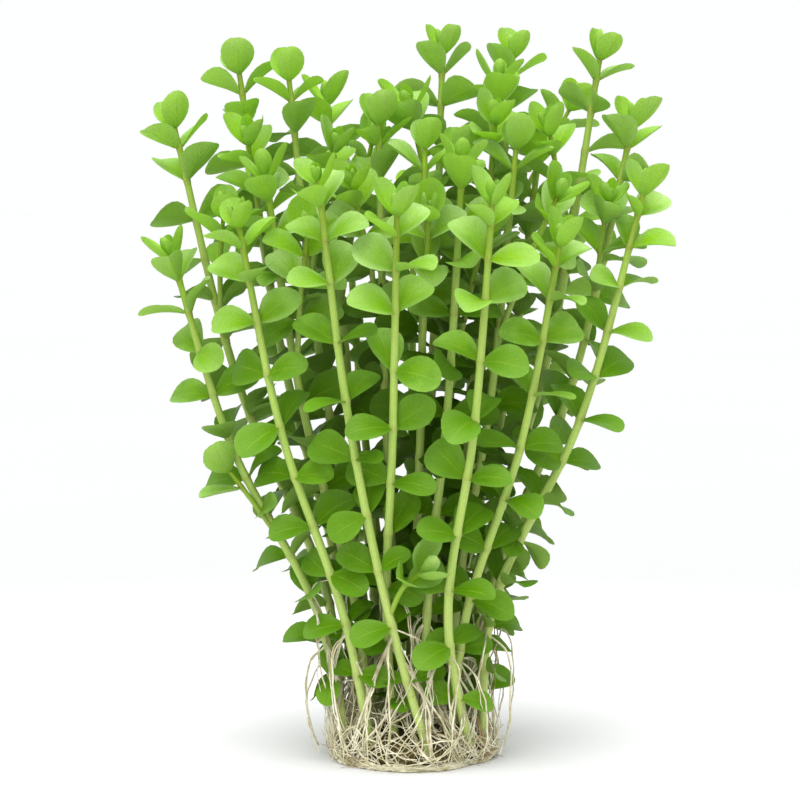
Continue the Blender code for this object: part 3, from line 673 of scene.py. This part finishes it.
def bend_blade(points, leaf):
    """Points of the flat blade, bent and sized as a leaf of its age, in the leaf's own frame."""
    dice = random.Random("bend/" + leaf["key"])
    least, most, widest, slope, cup, fold, arch, droop = from_top(BLADE_SHAPES, leaf["order"])
    share = dice.uniform(least, most)
    length, wide = leaf["size"] * share, leaf["width"] * share
    steps = len(BLADE_STATIONS) - 1
    along = np.interp((points[:, 0] + 1) / 2 * steps, range(steps + 1), BLADE_STATIONS)
    across = points[:, 1]
    widest += dice.uniform(-0.02, 0.02)
    tip = slope * (1 - widest) / widest
    outline = (along / widest) ** slope * ((1 - along) / (1 - widest)) ** tip
    outline *= 1 + dice.uniform(-0.09, 0.09) * np.sign(across)
    outline *= 1 + dice.uniform(0.0, 0.03) * np.sin(dice.uniform(5, 11) * along + 4 * across)
    half = np.maximum(outline * wide / 2, STALK_WIDTH_MM * MM / 2 * (1 - along))
    side = across * half
    end = (1 - across**2) * (1 - BLADE_STATIONS[-1])
    end -= dice.choice((0, 0, 0.02)) * (leaf["order"] > 2) * (1 - np.abs(across))
    end *= along > BLADE_STATIONS[-1] - 0.001
    reach = (along + end) * (length + STALK_INSIDE_MM * MM) - STALK_INSIDE_MM * MM
    cup = cup * dice.uniform(0.6, 1.4) + dice.uniform(-0.02, 0.02)
    fold *= dice.uniform(0.4, 1.6)
    arch += dice.uniform(-0.025, 0.025)
    droop += dice.uniform(-0.04, 0.03)
    wave, phase = dice.uniform(0.0, 0.022), dice.uniform(0, 2 * math.pi)
    sway, twist = dice.uniform(-0.06, 0.06), dice.uniform(-0.09, 0.09)
    width_here = half / (wide / 2)
    lift = cup * across**2 * width_here + fold * np.abs(across) * width_here
    lift += arch * 4 * along * (1 - along) - droop * along**3
    lift += across * (wave * np.sin(4.4 * along + phase) + twist * along) * width_here
    thick = BLADE_DEPTH_MM * MM * (0.35 + 0.65 * (1 - across**2)) * points[:, 2]
    side = side + sway * length * along**2
    return np.column_stack([reach, side, lift * length + thick])


# Reach of the bundle and the bounds of its inside, where leaves get painted shade
BUNDLE_REACH_MM = ((20.0, 27.0), (42.0, 30.0), (170.0, 72.0))
INSIDE_BETWEEN = (0.4, 0.85)
OPEN_TOP_MM = (125.0, 185.0)
AGE_BY_DEPTH_MM = ((2.0, 0.0), (22.0, 0.45), (60.0, 0.8), (150.0, 1.0))
# Painted shade: leaves at these heights, in millimetres, look this much older and so darker
PAINTED_SHADE_BY_HEIGHT_MM = ((60.0, 0.35), (150.0, 0.0))


def painted_shade_share(place):
    """Share of painted shade at a place: 0 at the bundle's outside and its open top, and 1 in its middle."""
    heights, reaches = zip(*BUNDLE_REACH_MM)
    share = math.hypot(place.x, place.y * DEEPER_THAN_WIDE) / MM / np.interp(place.z / MM, heights, reaches)
    return np.interp(share, INSIDE_BETWEEN, (1.0, 0.0)) * np.interp(place.z / MM, OPEN_TOP_MM, (1.0, 0.0))


def place_leaf(blade, leaf):
    """Copy of the blade, bent and set in its place."""
    copy = bpy.data.objects.new("leaf", blade.data.copy())
    bpy.context.scene.collection.objects.link(copy)
    points = bend_blade(flat_points, leaf)
    turn = np.array(leaf["frame"])
    points = np.clip(points @ turn[:3, :3].T + turn[:3, 3], *leaf_limits)
    copy.data.vertices.foreach_set("co", points.astype(np.float32).ravel())
    dice = random.Random("tone/" + leaf["key"])
    count = len(points)
    age = np.interp(leaf["depth"] / MM, *zip(*AGE_BY_DEPTH_MM))
    # Low leaves look older as painted shade, so the age attribute holds both age and painted shade
    painted_low_shade = np.interp(points[:, 2].mean() / MM, *zip(*PAINTED_SHADE_BY_HEIGHT_MM))
    set_attribute(copy.data, "age", np.full(count, age + painted_low_shade + dice.uniform(-0.1, 0.1)))
    set_attribute(copy.data, "tone", np.full(count, dice.random()))
    middle = leaf["frame"] @ Vector((leaf["size"] / 2, 0, 0))
    # Painted shade: how far inside the bundle the leaf's middle is, which the material darkens
    set_attribute(copy.data, "inside", np.full(count, painted_shade_share(middle)))
    return copy


LEAF_YOUNG = (0.27, 0.52, 0.006, 1.0)
LEAF_GROWN = (0.19, 0.42, 0.002, 1.0)
LEAF_OLD = (0.115, 0.29, 0.001, 1.0)
# Pale colour of the painted sheen on young leaves
LEAF_PAINTED_SHEEN = (0.46, 0.66, 0.24, 1.0)
LEAF_UNDER = (0.37, 0.55, 0.13, 1.0)
LEAF_RIB = (0.36, 0.54, 0.05, 1.0)
GLOW_YOUNG = (0.60, 0.86, 0.006, 1.0)
GLOW_OLD = (0.34, 0.60, 0.001, 1.0)
SIDE_VEINS = 7.0


def build_leaf_material():
    """Satin leaf that lets light through: lime when young, deep green when old, pale and matt underneath."""
    material, tree, shader, output = new_material("leaf_blade")
    age, tone, below, inside = (attribute(tree, name) for name in ("age", "tone", "underside", "inside"))
    patches, cells = add_mottle(tree, 0.004, 0.00042)
    along, across = unwrapped(tree)
    off_middle = math_node(tree, "ABSOLUTE", math_node(tree, "SUBTRACT", across, 0.5))
    rib = times(tree, banded(tree, off_middle, 0.045, 0.008), banded(tree, along, 1.0, 0.55))
    slant = times(tree, off_middle, -0.9, along)
    veins = math_node(tree, "SINE", times(tree, slant, 2 * math.pi * SIDE_VEINS))
    veins = times(tree, banded(tree, veins, 0.72, 1.0), banded(tree, off_middle, 0.47, 0.3))

    # The age attribute holds painted shade for low leaves as well as their age
    age_and_painted_shade = times(tree, math_node(tree, "SUBTRACT", tone, 0.5), 0.5, age, clamp=True)
    age_and_painted_shade = times(tree, math_node(tree, "SUBTRACT", patches, 0.5), 0.22, age_and_painted_shade, clamp=True)
    colour = mixed(tree, banded(tree, age_and_painted_shade, 0.0, 0.5), LEAF_YOUNG, LEAF_GROWN)
    colour = mixed(tree, banded(tree, age_and_painted_shade, 0.45, 1.0), colour, LEAF_OLD)
    # Painted sheen: patches of pale colour towards the edges and tips of young leaves, for reflected light
    painted_sheen_edge = math_node(tree, "MAXIMUM", times(tree, off_middle, 2.0), along)
    painted_sheen_edge = times(tree, patches, 0.35, banded(tree, painted_sheen_edge, 0.3, 1.0))
    painted_sheen = banded(tree, tone, 0.0, 0.9, 0.45, 1.0)
    painted_sheen = times(tree, painted_sheen, banded(tree, age_and_painted_shade, 0.2, 0.95, 0.95, 0.12))
    painted_sheen = times(tree, painted_sheen, banded(tree, age, 0.0, 0.2, 0.5, 1.0))
    colour = mixed(tree, times(tree, painted_sheen, painted_sheen_edge, clamp=True), colour, LEAF_PAINTED_SHEEN)
    # Undersides pale less inside the bundle, as part of its painted shade
    pale_below = times(tree, below, banded(tree, inside, 0.0, 0.8, 0.6, 0.25))
    colour = mixed(tree, pale_below, colour, LEAF_UNDER)
    for pale in (banded(tree, along, 0.2, 0.0, 0.0, 0.2), times(tree, rib, 0.28), times(tree, veins, 0.07)):
        colour = mixed(tree, pale, colour, LEAF_RIB)
    # Painted shade darkens the colour and let-through light inside the bundle; the cells add a real mottle
    mottle_and_painted_light = times(tree, times(tree, cells, 0.14, 0.93), banded(tree, inside, 0.0, 1.0, 0.97, 0.6))
    glow = scaled(tree, mixed(tree, age_and_painted_shade, GLOW_YOUNG, GLOW_OLD), mottle_and_painted_light)

    relief = times(tree, cells, 0.35, times(tree, rib, -1.6, times(tree, veins, -0.6)))
    normal = bumped(tree, relief, 0.5, 0.00012)
    set_inputs(tree, shader, {
        "Base Color": scaled(tree, colour, mottle_and_painted_light),
        "Roughness": times(tree, below, 0.18, times(tree, cells, 0.1, 0.36)),
        "Normal": normal,
        # Less shine inside the bundle, along with its painted shade
        "Specular IOR Level": banded(tree, inside, 0.0, 0.6, 0.3, 0.05),
        "Specular Tint": (0.88, 1.0, 0.45, 1.0),
    })
    through = add_node(tree, "ShaderNodeBsdfTranslucent", {"Color": glow, "Normal": normal})
    thin = banded(tree, age_and_painted_shade, 0.0, 0.6, 0.48, 0.32)
    both = add_node(tree, "ShaderNodeMixShader", {0: thin, 1: shader.outputs[0], 2: through.outputs[0]})
    tree.links.new(both.outputs[0], output.inputs["Surface"])
    return material


blade = model_blade()
blade.data.materials.append(build_leaf_material())
flat_points = np.empty(len(blade.data.vertices) * 3, np.float32)
blade.data.vertices.foreach_get("co", flat_points)
flat_points = flat_points.reshape(-1, 3)
leaf_limits = (np.array(cad_box[0]) + 0.1 * MM, np.array(cad_box[1]) - 0.1 * MM)
for leaf in lay_out_leaves() + bud_leaves():
    shoot_pieces[stems[leaf["stem"]][0]].append(place_leaf(blade, leaf))
bpy.data.objects.remove(blade)


def joined(pieces, name):
    """The pieces as one object of that name."""
    bpy.ops.object.select_all(action="DESELECT")
    for piece in pieces:
        piece.select_set(True)
    bpy.context.view_layer.objects.active = pieces[0]
    bpy.ops.object.join()
    pieces[0].name = name
    return pieces[0]


for number, pieces in shoot_pieces.items():
    name = f"shoot_{number:02}"
    shoot = joined(pieces, name + "_leafy")
    bpy.ops.object.shade_smooth_by_angle(angle=math.radians(40))
    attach(shoot, "root")
    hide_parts(name)


# Root mat
# The real mat is a tangle of fine cream roots, pressed flat below where the plants grew in a pot, with brown
# gaps that show its dark inside. A lumpy felt core carries roots that rim it, wind round it and loop over it.

# Radius and height from the bottom rim up the side to the middle of the top
MAT_PROFILE_MM = ((23.2, 0.0), (24.8, 4.2), (23.6, 8.6), (17.0, 13.6), (0.0, 15.2))
MAT_LOBES = ((3, 0.030, 0.6), (5, 0.022, 2.1), (8, 0.012, 4.0))
CORE_STEPS = 96
CORE_LEVELS = 16
CORE_SHRINK, CORE_LOWER = 0.9, 0.62
CORE_LUMPS, LUMP_OUT, LUMP_UP = 14, 0.014, 0.05
LEAST_HEIGHT_MM = 0.3
ROOT_WAVES = (1.3, 2.9, 6.1)


def mat_radius(radius, angle):
    """Radius of the mat's slightly lobed outline."""
    wave = sum(size * math.sin(count * angle + start) for count, size, start in MAT_LOBES)
    return radius * (1 + wave)


def at_angle(angle, radius, height):
    """Point that far from the bundle's middle line, in millimetres, at that angle and height."""
    return Vector((radius * math.cos(angle), radius * math.sin(angle), height)) * MM


def on_mat(angle, share, lift=0.0):
    """Point on the mat, a share of the way along its profile, and lifted off it by some millimetres."""
    steps = [0.0] + [math.dist(a, b) for a, b in zip(MAT_PROFILE_MM, MAT_PROFILE_MM[1:])]
    away = np.cumsum(steps) / sum(steps)
    radius, height = (np.interp(share, away, values) for values in zip(*MAT_PROFILE_MM))
    side = np.clip(1.6 - 2.6 * share, 0.0, 1.0)
    height = max(height + lift * (1 - side), LEAST_HEIGHT_MM)
    return at_angle(angle, mat_radius(radius, angle) + lift * side, height)


def scatter(dice, reach):
    """Step that far at most each way, in millimetres."""
    return Vector([dice.uniform(-reach, reach) * MM for _ in range(3)])


def root_through(points, thick, dice, kink, step=1.6):
    """Root through the points, which wanders a little on the way and thins towards its tip."""
    line = smooth_line(points, step * MM)
    count = len(line)
    swing = np.zeros((count, 3))
    for waves in ROOT_WAVES:
        start = np.array([dice.uniform(0, 2 * math.pi) for _ in range(3)])
        reach = np.array([dice.uniform(0.4, 1.0) for _ in range(3)]) * kink * MM / waves**0.7
        swing += np.sin(np.linspace(0, 1, count)[:, None] * 2 * math.pi * waves + start) * reach
    ends = np.sin(np.linspace(0, 1, count) * math.pi)[:, None] ** 0.6
    line = line + swing * ends
    thin = thick * np.interp(np.linspace(0, 1, count), (0, 0.1, 0.7, 1.0), (0.85, 1.0, 0.85, 0.3))
    line[:, 2] = np.maximum(line[:, 2], (thin + 0.01) * MM)
    return line, thin


BUNDLE_SPREAD_MM = 1.5
FINER_SHARES = (0.45, 0.8)


def root_bundle(points, thick, dice, kink, count):
    """Roots that start together, run side by side and part on the way down."""
    found = []
    for number in range(count):
        apart = BUNDLE_SPREAD_MM * min(number, 1) / (len(points) - 1)
        moved = [Vector(point) + scatter(dice, apart * k + 0.25) for k, point in enumerate(points)]
        radius = thick * dice.uniform(*FINER_SHARES) if number else thick
        found.append(root_through(moved, radius, dice, kink))
    return found


def add_roots(name, roots, sides_step, brown_share, dice):
    """Roots as one mesh, from a curve with points and radii for each root. Some take the brown skin."""
    bpy.ops.curve.primitive_bezier_curve_add()
    curve = bpy.context.object
    curve.data.splines.clear()
    curve.data.dimensions = "3D"
    for skin in root_skins:
        curve.data.materials.append(skin)
    for line, thick in roots:
        spline = curve.data.splines.new("POLY")
        spline.material_index = int(dice.random() < brown_share)
        spline.points.add(len(line) - 1)
        for point, place, radius in zip(spline.points, line, thick):
            point.co = (*place, 1.0)
            point.radius = radius
    curve.data.bevel_depth = MM
    curve.data.bevel_resolution = sides_step
    curve.data.use_fill_caps = True
    bpy.ops.object.convert(target="MESH")
    piece = bpy.context.object
    piece.name = name
    bpy.ops.object.mode_set(mode="EDIT")
    bpy.ops.mesh.select_all(action="SELECT")
    bpy.ops.mesh.remove_doubles(threshold=0.000001)
    bpy.ops.mesh.normals_make_consistent(inside=False)
    bpy.ops.object.mode_set(mode="OBJECT")
    bpy.ops.object.shade_smooth_by_angle(angle=math.radians(80))
    return piece


CREAM = (0.47, 0.44, 0.26, 1.0)
WHITE_ROOT = (0.74, 0.71, 0.54, 1.0)
TAN_ROOT = (0.34, 0.25, 0.11, 1.0)
BROWN_ROOT = (0.17, 0.11, 0.045, 1.0)
CORE_DARK = (0.045, 0.035, 0.010, 1.0)
CORE_FIBRE = (0.27, 0.22, 0.10, 1.0)


def build_root_material(name, first, second, spot):
    """Root skin with paler and darker stretches and small stained spots."""
    material, tree, shader, _ = new_material(name)
    patches, cells = add_mottle(tree, 0.005, 0.0004)
    slow, _ = add_mottle(tree, 0.0022, 0.001)
    colour = mixed(tree, patches, first, second)
    set_inputs(tree, shader, {
        "Base Color": mixed(tree, times(tree, banded(tree, slow, 0.6, 0.95), 0.5), colour, spot),
        "Roughness": times(tree, cells, 0.15, 0.5),
        "Normal": bumped(tree, cells, 0.4, 0.00008),
        "Specular IOR Level": 0.35,
    })
    return material


def build_felt_material():
    """Brown felt of roots too fine to see, nearly black in its gaps."""
    material, tree, shader, _ = new_material("root_felt")
    patches, cells = add_mottle(tree, 0.003, 0.0005)
    place = add_node(tree, "ShaderNodeTexCoord").outputs["Object"]
    fibres = add_node(tree, "ShaderNodeTexNoise", {"Vector": place, "Scale": 420.0, "Distortion": 3.0})
    strand = banded(tree, fibres.outputs["Fac"], 0.46, 0.62)
    colour = mixed(tree, strand, CORE_DARK, CORE_FIBRE)
    set_inputs(tree, shader, {
        "Base Color": mixed(tree, times(tree, patches, 0.25), colour, TAN_ROOT),
        "Roughness": 0.85,
        "Normal": bumped(tree, times(tree, cells, 0.4, strand), 0.9, 0.0005),
        "Specular IOR Level": 0.2,
    })
    return material


def model_core():
    """Lumpy low mound inside the mat: a circle whose rim is extruded up the side and over the top."""
    bpy.ops.mesh.primitive_circle_add(vertices=CORE_STEPS, radius=1, fill_type="NGON")
    core = bpy.context.object
    core.name = "felt_core"
    bpy.ops.object.mode_set(mode="EDIT")
    bpy.ops.mesh.select_mode(type="EDGE")
    bpy.ops.mesh.select_all(action="DESELECT")
    for edge in bmesh.from_edit_mesh(core.data).edges:
        edge.select_set(True)
    bmesh.update_edit_mesh(core.data)
    for _ in range(CORE_LEVELS):
        bpy.ops.mesh.extrude_edges_move(TRANSFORM_OT_translate={"value": (0, 0, 1)})
    bpy.ops.mesh.edge_face_add()
    bpy.ops.mesh.select_all(action="SELECT")
    bpy.ops.mesh.normals_make_consistent(inside=False)
    bpy.ops.object.mode_set(mode="OBJECT")
    dice = random.Random("core")
    lumps = [(dice.uniform(0, 6.28), dice.uniform(0, 6.28), dice.randint(3, 19)) for _ in range(CORE_LUMPS)]
    for vertex in core.data.vertices:
        level = round(vertex.co.z)
        share = 0.0 if level == 0 else 0.06 + 0.9 * (level - 1) / (CORE_LEVELS - 1)
        angle = math.atan2(vertex.co.y, vertex.co.x)
        lump = sum(math.sin(n * angle + a) * math.sin(9 * share * (1 + n / 19) + b) for a, b, n in lumps)
        place = on_mat(angle, share)
        shrink = CORE_SHRINK * (1 + LUMP_OUT * lump)
        height = max(place.z * CORE_LOWER * (1 + LUMP_UP * lump) if level else 0.0, LEAST_HEIGHT_MM * MM)
        vertex.co = (place.x * shrink, place.y * shrink, height)
    return core


def rim_root(dice):
    """Thick root that lies along the flat underside's edge."""
    start, turn = dice.uniform(0, 2 * math.pi), dice.choice((-1, 1)) * dice.uniform(0.7, 1.9)
    points = []
    for k in range(9):
        points.append(on_mat(start + turn * k / 8, dice.uniform(0.0, 0.06), dice.uniform(-0.9, 0.5)))
    return root_through(points, dice.uniform(0.32, 0.62), dice, 0.35)


def winding_root(dice):
    """Root that winds part of the way round the mat's side, up and down, as if it had met a pot's wall."""
    start, turn = dice.uniform(0, 2 * math.pi), dice.choice((-1, 1)) * dice.uniform(0.4, 1.6)
    shares = [dice.uniform(0.0, 0.16), dice.uniform(0.0, 0.5), dice.uniform(0.0, 0.2)]
    points = []
    for k in range(7):
        share = np.interp(k / 6, (0, 0.5, 1), shares) + dice.uniform(-0.04, 0.04)
        points.append(on_mat(start + turn * k / 6, max(share, 0.0), dice.uniform(-0.8, 1.0)))
    return root_through(points, dice.choice((0.14, 0.18, 0.24, 0.34)), dice, 0.45)


DRAPE_START_MM = (14, 44)


def draping_bundle(dice):
    """Roots that leave a stem near the mat together, hang over its side and run out along its rim."""
    line = stems[dice.randrange(len(SHOOTS))][1]
    start, _ = point_and_direction(line, at_height(line, dice.uniform(*DRAPE_START_MM) * MM))
    angle = math.atan2(start.y, start.x) + dice.uniform(-0.35, 0.35)
    turn = dice.choice((-1, 1)) * dice.uniform(0.05, 1.2)
    reach = max(math.hypot(start.x, start.y) / MM, 12.0)
    out = (reach + 23) / 2 + dice.uniform(-2, 2)
    half = at_angle(angle + turn * 0.25, out, start.z / MM * dice.uniform(0.5, 0.7))
    side = on_mat(angle + turn * 0.5, dice.uniform(0.16, 0.3), dice.uniform(-0.5, 1.2))
    low = on_mat(angle + turn * 0.75, dice.uniform(0.04, 0.1), dice.uniform(-0.3, 0.9))
    end = on_mat(angle + turn * 1.15, dice.uniform(0.0, 0.04), dice.uniform(-0.5, 0.7))
    return root_bundle([start, half, side, low, end], dice.uniform(0.2, 0.42), dice, 0.4, dice.randint(1, 3))


def looping_root(dice):
    """Root that rises from the rim in a loose arch over the mat's side and comes down beside it."""
    start, turn = dice.uniform(0, 2 * math.pi), dice.choice((-1, 1)) * dice.uniform(0.4, 1.1)
    top = dice.uniform(6, 15)
    points = [
        on_mat(start, 0.03, 0.2),
        at_angle(start + turn * 0.25, 23.5 + dice.uniform(-1, 1.6), top * 0.75),
        at_angle(start + turn * 0.55, 22.5 + dice.uniform(-2, 2), top),
        at_angle(start + turn * 0.85, 23.5 + dice.uniform(-1, 1.2), top * 0.5),
        on_mat(start + turn, 0.02, dice.uniform(0, 0.6)),
    ]
    return root_through(points, dice.uniform(0.16, 0.36), dice, 0.5)


def top_root(dice):
    """Root that wanders over the top of the mat between the stems."""
    angle, share = dice.uniform(0, 2 * math.pi), dice.uniform(0.4, 0.95)
    points = []
    for _ in range(6):
        points.append(on_mat(angle, share, dice.uniform(-4.0, 4.5)))
        angle += dice.uniform(-0.7, 0.7)
        share = min(max(share + dice.uniform(-0.16, 0.12), 0.25), 0.97)
    return root_through(points, dice.choice((0.12, 0.16, 0.24)), dice, 0.8)


LOOSE_RADIUS_MM, HAIR_RADIUS_MM = 0.13, 0.075


def loose_end(dice):
    """Fine root that leaves the mat's side and ends in the air."""
    angle = dice.uniform(0, 2 * math.pi)
    start = on_mat(angle, dice.uniform(0.05, 0.5), -0.5)
    outward = at_angle(angle, dice.uniform(1.0, 4.2), 0)
    bend = scatter(dice, 2.4)
    points = [start, start + outward * 0.5 + bend * 0.2, start + outward + bend]
    return root_through(points, LOOSE_RADIUS_MM, dice, 0.4, 0.9)


def root_hair(roots, dice):
    """Very fine short side root that grows from one of the roots."""
    line, _ = dice.choice(roots)
    start = Vector(line[dice.randrange(len(line))])
    away = scatter(dice, 1).normalized() * dice.uniform(2.0, 6.0) * MM
    bend = scatter(dice, 1.2)
    return root_through([start, start + away * 0.5 + bend, start + away], HAIR_RADIUS_MM, dice, 0.3, 1.1)


root_skins = (
    build_root_material("root_skin", CREAM, WHITE_ROOT, TAN_ROOT),
    build_root_material("brown_root_skin", TAN_ROOT, BROWN_ROOT, CREAM),
)
SINGLE_ROOTS = ((rim_root, 34), (winding_root, 56), (looping_root, 22), (top_root, 80))
DRAPING_BUNDLES, LOOSE_ENDS, ROOT_HAIRS = 84, 46, 520
mat_dice = random.Random("mat")
mat_roots = [grow(mat_dice) for grow, count in SINGLE_ROOTS for _ in range(count)]
for _ in range(DRAPING_BUNDLES):
    mat_roots += draping_bundle(mat_dice)
fine_roots = [loose_end(mat_dice) for _ in range(LOOSE_ENDS)]
fine_roots += [root_hair(mat_roots, mat_dice) for _ in range(ROOT_HAIRS)]
mat_pieces = [
    add_roots("root_mat_strands", mat_roots, 1, 0.08, mat_dice),
    add_roots("root_mat_hairs", fine_roots, 0, 0.15, mat_dice),
    model_core(),
]
mat_pieces[-1].data.materials.append(build_felt_material())
mat_piece = joined(mat_pieces, "root_mat_felt")
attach(mat_piece, "root")
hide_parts("root_mat")


# Hanging roots
# The real ones are fine cream roots from the lowest leaf pairs. They hang in loose bundles among and outside
# the stems, down to the mat. Each thick root of the solids is one here too, and finer ones hang inside them.

FINE_BUNDLES_EACH = 2
LOW_PAIR_MM = 58
THICK_SHOWN_MM = 0.3


def hanging_roots(dice):
    """The solids' hanging roots, and finer ones from every stem's lowest leaf pairs."""
    found = []
    for shoot, *about in HANGING_ROOTS:
        line = hanging_root_line(stems[shoot - 1][1], *about)
        points = list(line[::4]) + [line[-1]]
        found += root_bundle(points, THICK_SHOWN_MM, dice, 0.5, dice.randint(1, 2))
    for _, line, *_ in stems[: len(SHOOTS)]:
        nodes = pair_depths(line, LOWEST_PAIR_MM * MM)
        low = [n for n in nodes if point_and_direction(line, n)[0].z < LOW_PAIR_MM * MM]
        for _ in range(FINE_BUNDLES_EACH):
            depth = dice.choice(low) + dice.uniform(0.5, 2.5) * MM
            start, _ = point_and_direction(line, depth)
            angle = math.atan2(start.y, start.x) + dice.uniform(-0.4, 0.4)
            reach = math.hypot(start.x, start.y) / MM
            landing = angle + dice.uniform(-0.6, 0.6)
            foot = on_mat(landing, dice.uniform(0.1, 0.6), dice.uniform(-0.5, 1.0))
            outer = dice.uniform(0.35, 0.7) * reach + 0.45 * math.hypot(foot.x, foot.y) / MM
            points = [
                start,
                at_angle(angle, reach + dice.uniform(0.8, 2.2), start.z / MM - dice.uniform(1.5, 4.0)),
                at_angle((angle + landing) / 2, outer, start.z / MM * 0.35 + foot.z / MM * 0.65),
                foot,
                on_mat(landing + dice.uniform(-0.5, 0.5), dice.uniform(0.02, 0.12), dice.uniform(-0.2, 0.8)),
            ]
            found += root_bundle(points, dice.uniform(0.13, 0.3), dice, 0.8, dice.randint(1, 3))
    return found


hanging_dice = random.Random("hanging")
hanging_piece = add_roots("hanging_roots", hanging_roots(hanging_dice), 1, 0.04, hanging_dice)
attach(hanging_piece, "root")


# Studio
# A plain floor under nearly white air, with a wide soft light from above and one from behind the camera, both
# a little to its left. The floor is as bright as the air, and brighter in a pool of light painted into its
# middle, so only the bundle's soft shadow shows, lightened by that painted light.

AIR_COLOUR = (0.992, 0.999, 1.0, 1.0)
# Soft light: name, direction it comes from, strength in W/m2 and spread in degrees
SOFT_LIGHTS = (
    ("upper_light", (-0.06, -0.24, 1.0), 3.9, 50.0),
    ("front_light", (-0.2, -1.0, 0.4), 1.3, 60.0),
)
# Painted light: how much paler the floor's paint is in its middle, a pool of light that lightens the shadow
PAINTED_LIGHT_POOL = 1.45
FLOOR_SIZE = 12
CAMERA_TARGET_MM = Vector((-3.2, 0.0, 105.2))
CAMERA_DISTANCE_MM = 900.0
CAMERA_RISE_DEG = 5.0
CAMERA_LENS = 138.8

world = bpy.data.worlds.new("pale_air")
world.use_nodes = True
world.node_tree.nodes["Background"].inputs["Color"].default_value = AIR_COLOUR
bpy.context.scene.world = world

extra_light = 0.0
for name, source, strength, spread in SOFT_LIGHTS:
    bpy.ops.object.light_add(type="SUN", location=Vector(source))
    light = bpy.context.object
    light.name = name
    light.rotation_euler = (-Vector(source)).to_track_quat("-Z", "Y").to_euler()
    light.data.energy = strength
    light.data.angle = math.radians(spread)
    extra_light += strength * Vector(source).normalized().z / math.pi


def build_floor_material():
    """Matt pale paint with a barely seen mottle, as bright as the air, and a painted pool of light in its
    middle.
    """
    material, tree, shader, _ = new_material("pale_floor")
    patches, _ = add_mottle(tree, 0.25, 0.01)
    place = add_node(tree, "ShaderNodeTexCoord").outputs["Object"]
    away = add_node(tree, "ShaderNodeVectorMath", {0: place}, operation="LENGTH").outputs["Value"]
    # Painted pool of light, fading out from 0.05 to 0.4 m from the middle, on a faint real mottle
    mottle_and_painted_light = times(tree, patches, 0.006, banded(tree, away, 0.05, 0.4, PAINTED_LIGHT_POOL, 0.994))
    paint = [channel / (channel + extra_light) for channel in AIR_COLOUR[:3]]
    colour = scaled(tree, paint, mottle_and_painted_light)
    set_inputs(tree, shader, {"Base Color": colour, "Roughness": 0.9, "Specular IOR Level": 0.0})
    return material


bpy.ops.mesh.primitive_plane_add(size=FLOOR_SIZE)
floor = bpy.context.object
floor.name = "floor"
floor.data.materials.append(build_floor_material())

target = CAMERA_TARGET_MM * MM
rise = math.radians(CAMERA_RISE_DEG)
away = Vector((0, -math.cos(rise), math.sin(rise))) * CAMERA_DISTANCE_MM * MM
bpy.ops.object.camera_add(location=target + away)
camera = bpy.context.object
camera.name = "camera"
camera.rotation_euler = (-away).to_track_quat("-Z", "Y").to_euler()
camera.data.lens = CAMERA_LENS
camera.data.sensor_width = 36.0
camera.data.clip_start = 0.01
bpy.context.scene.camera = camera
bpy.context.scene.view_settings.view_transform = "Standard"
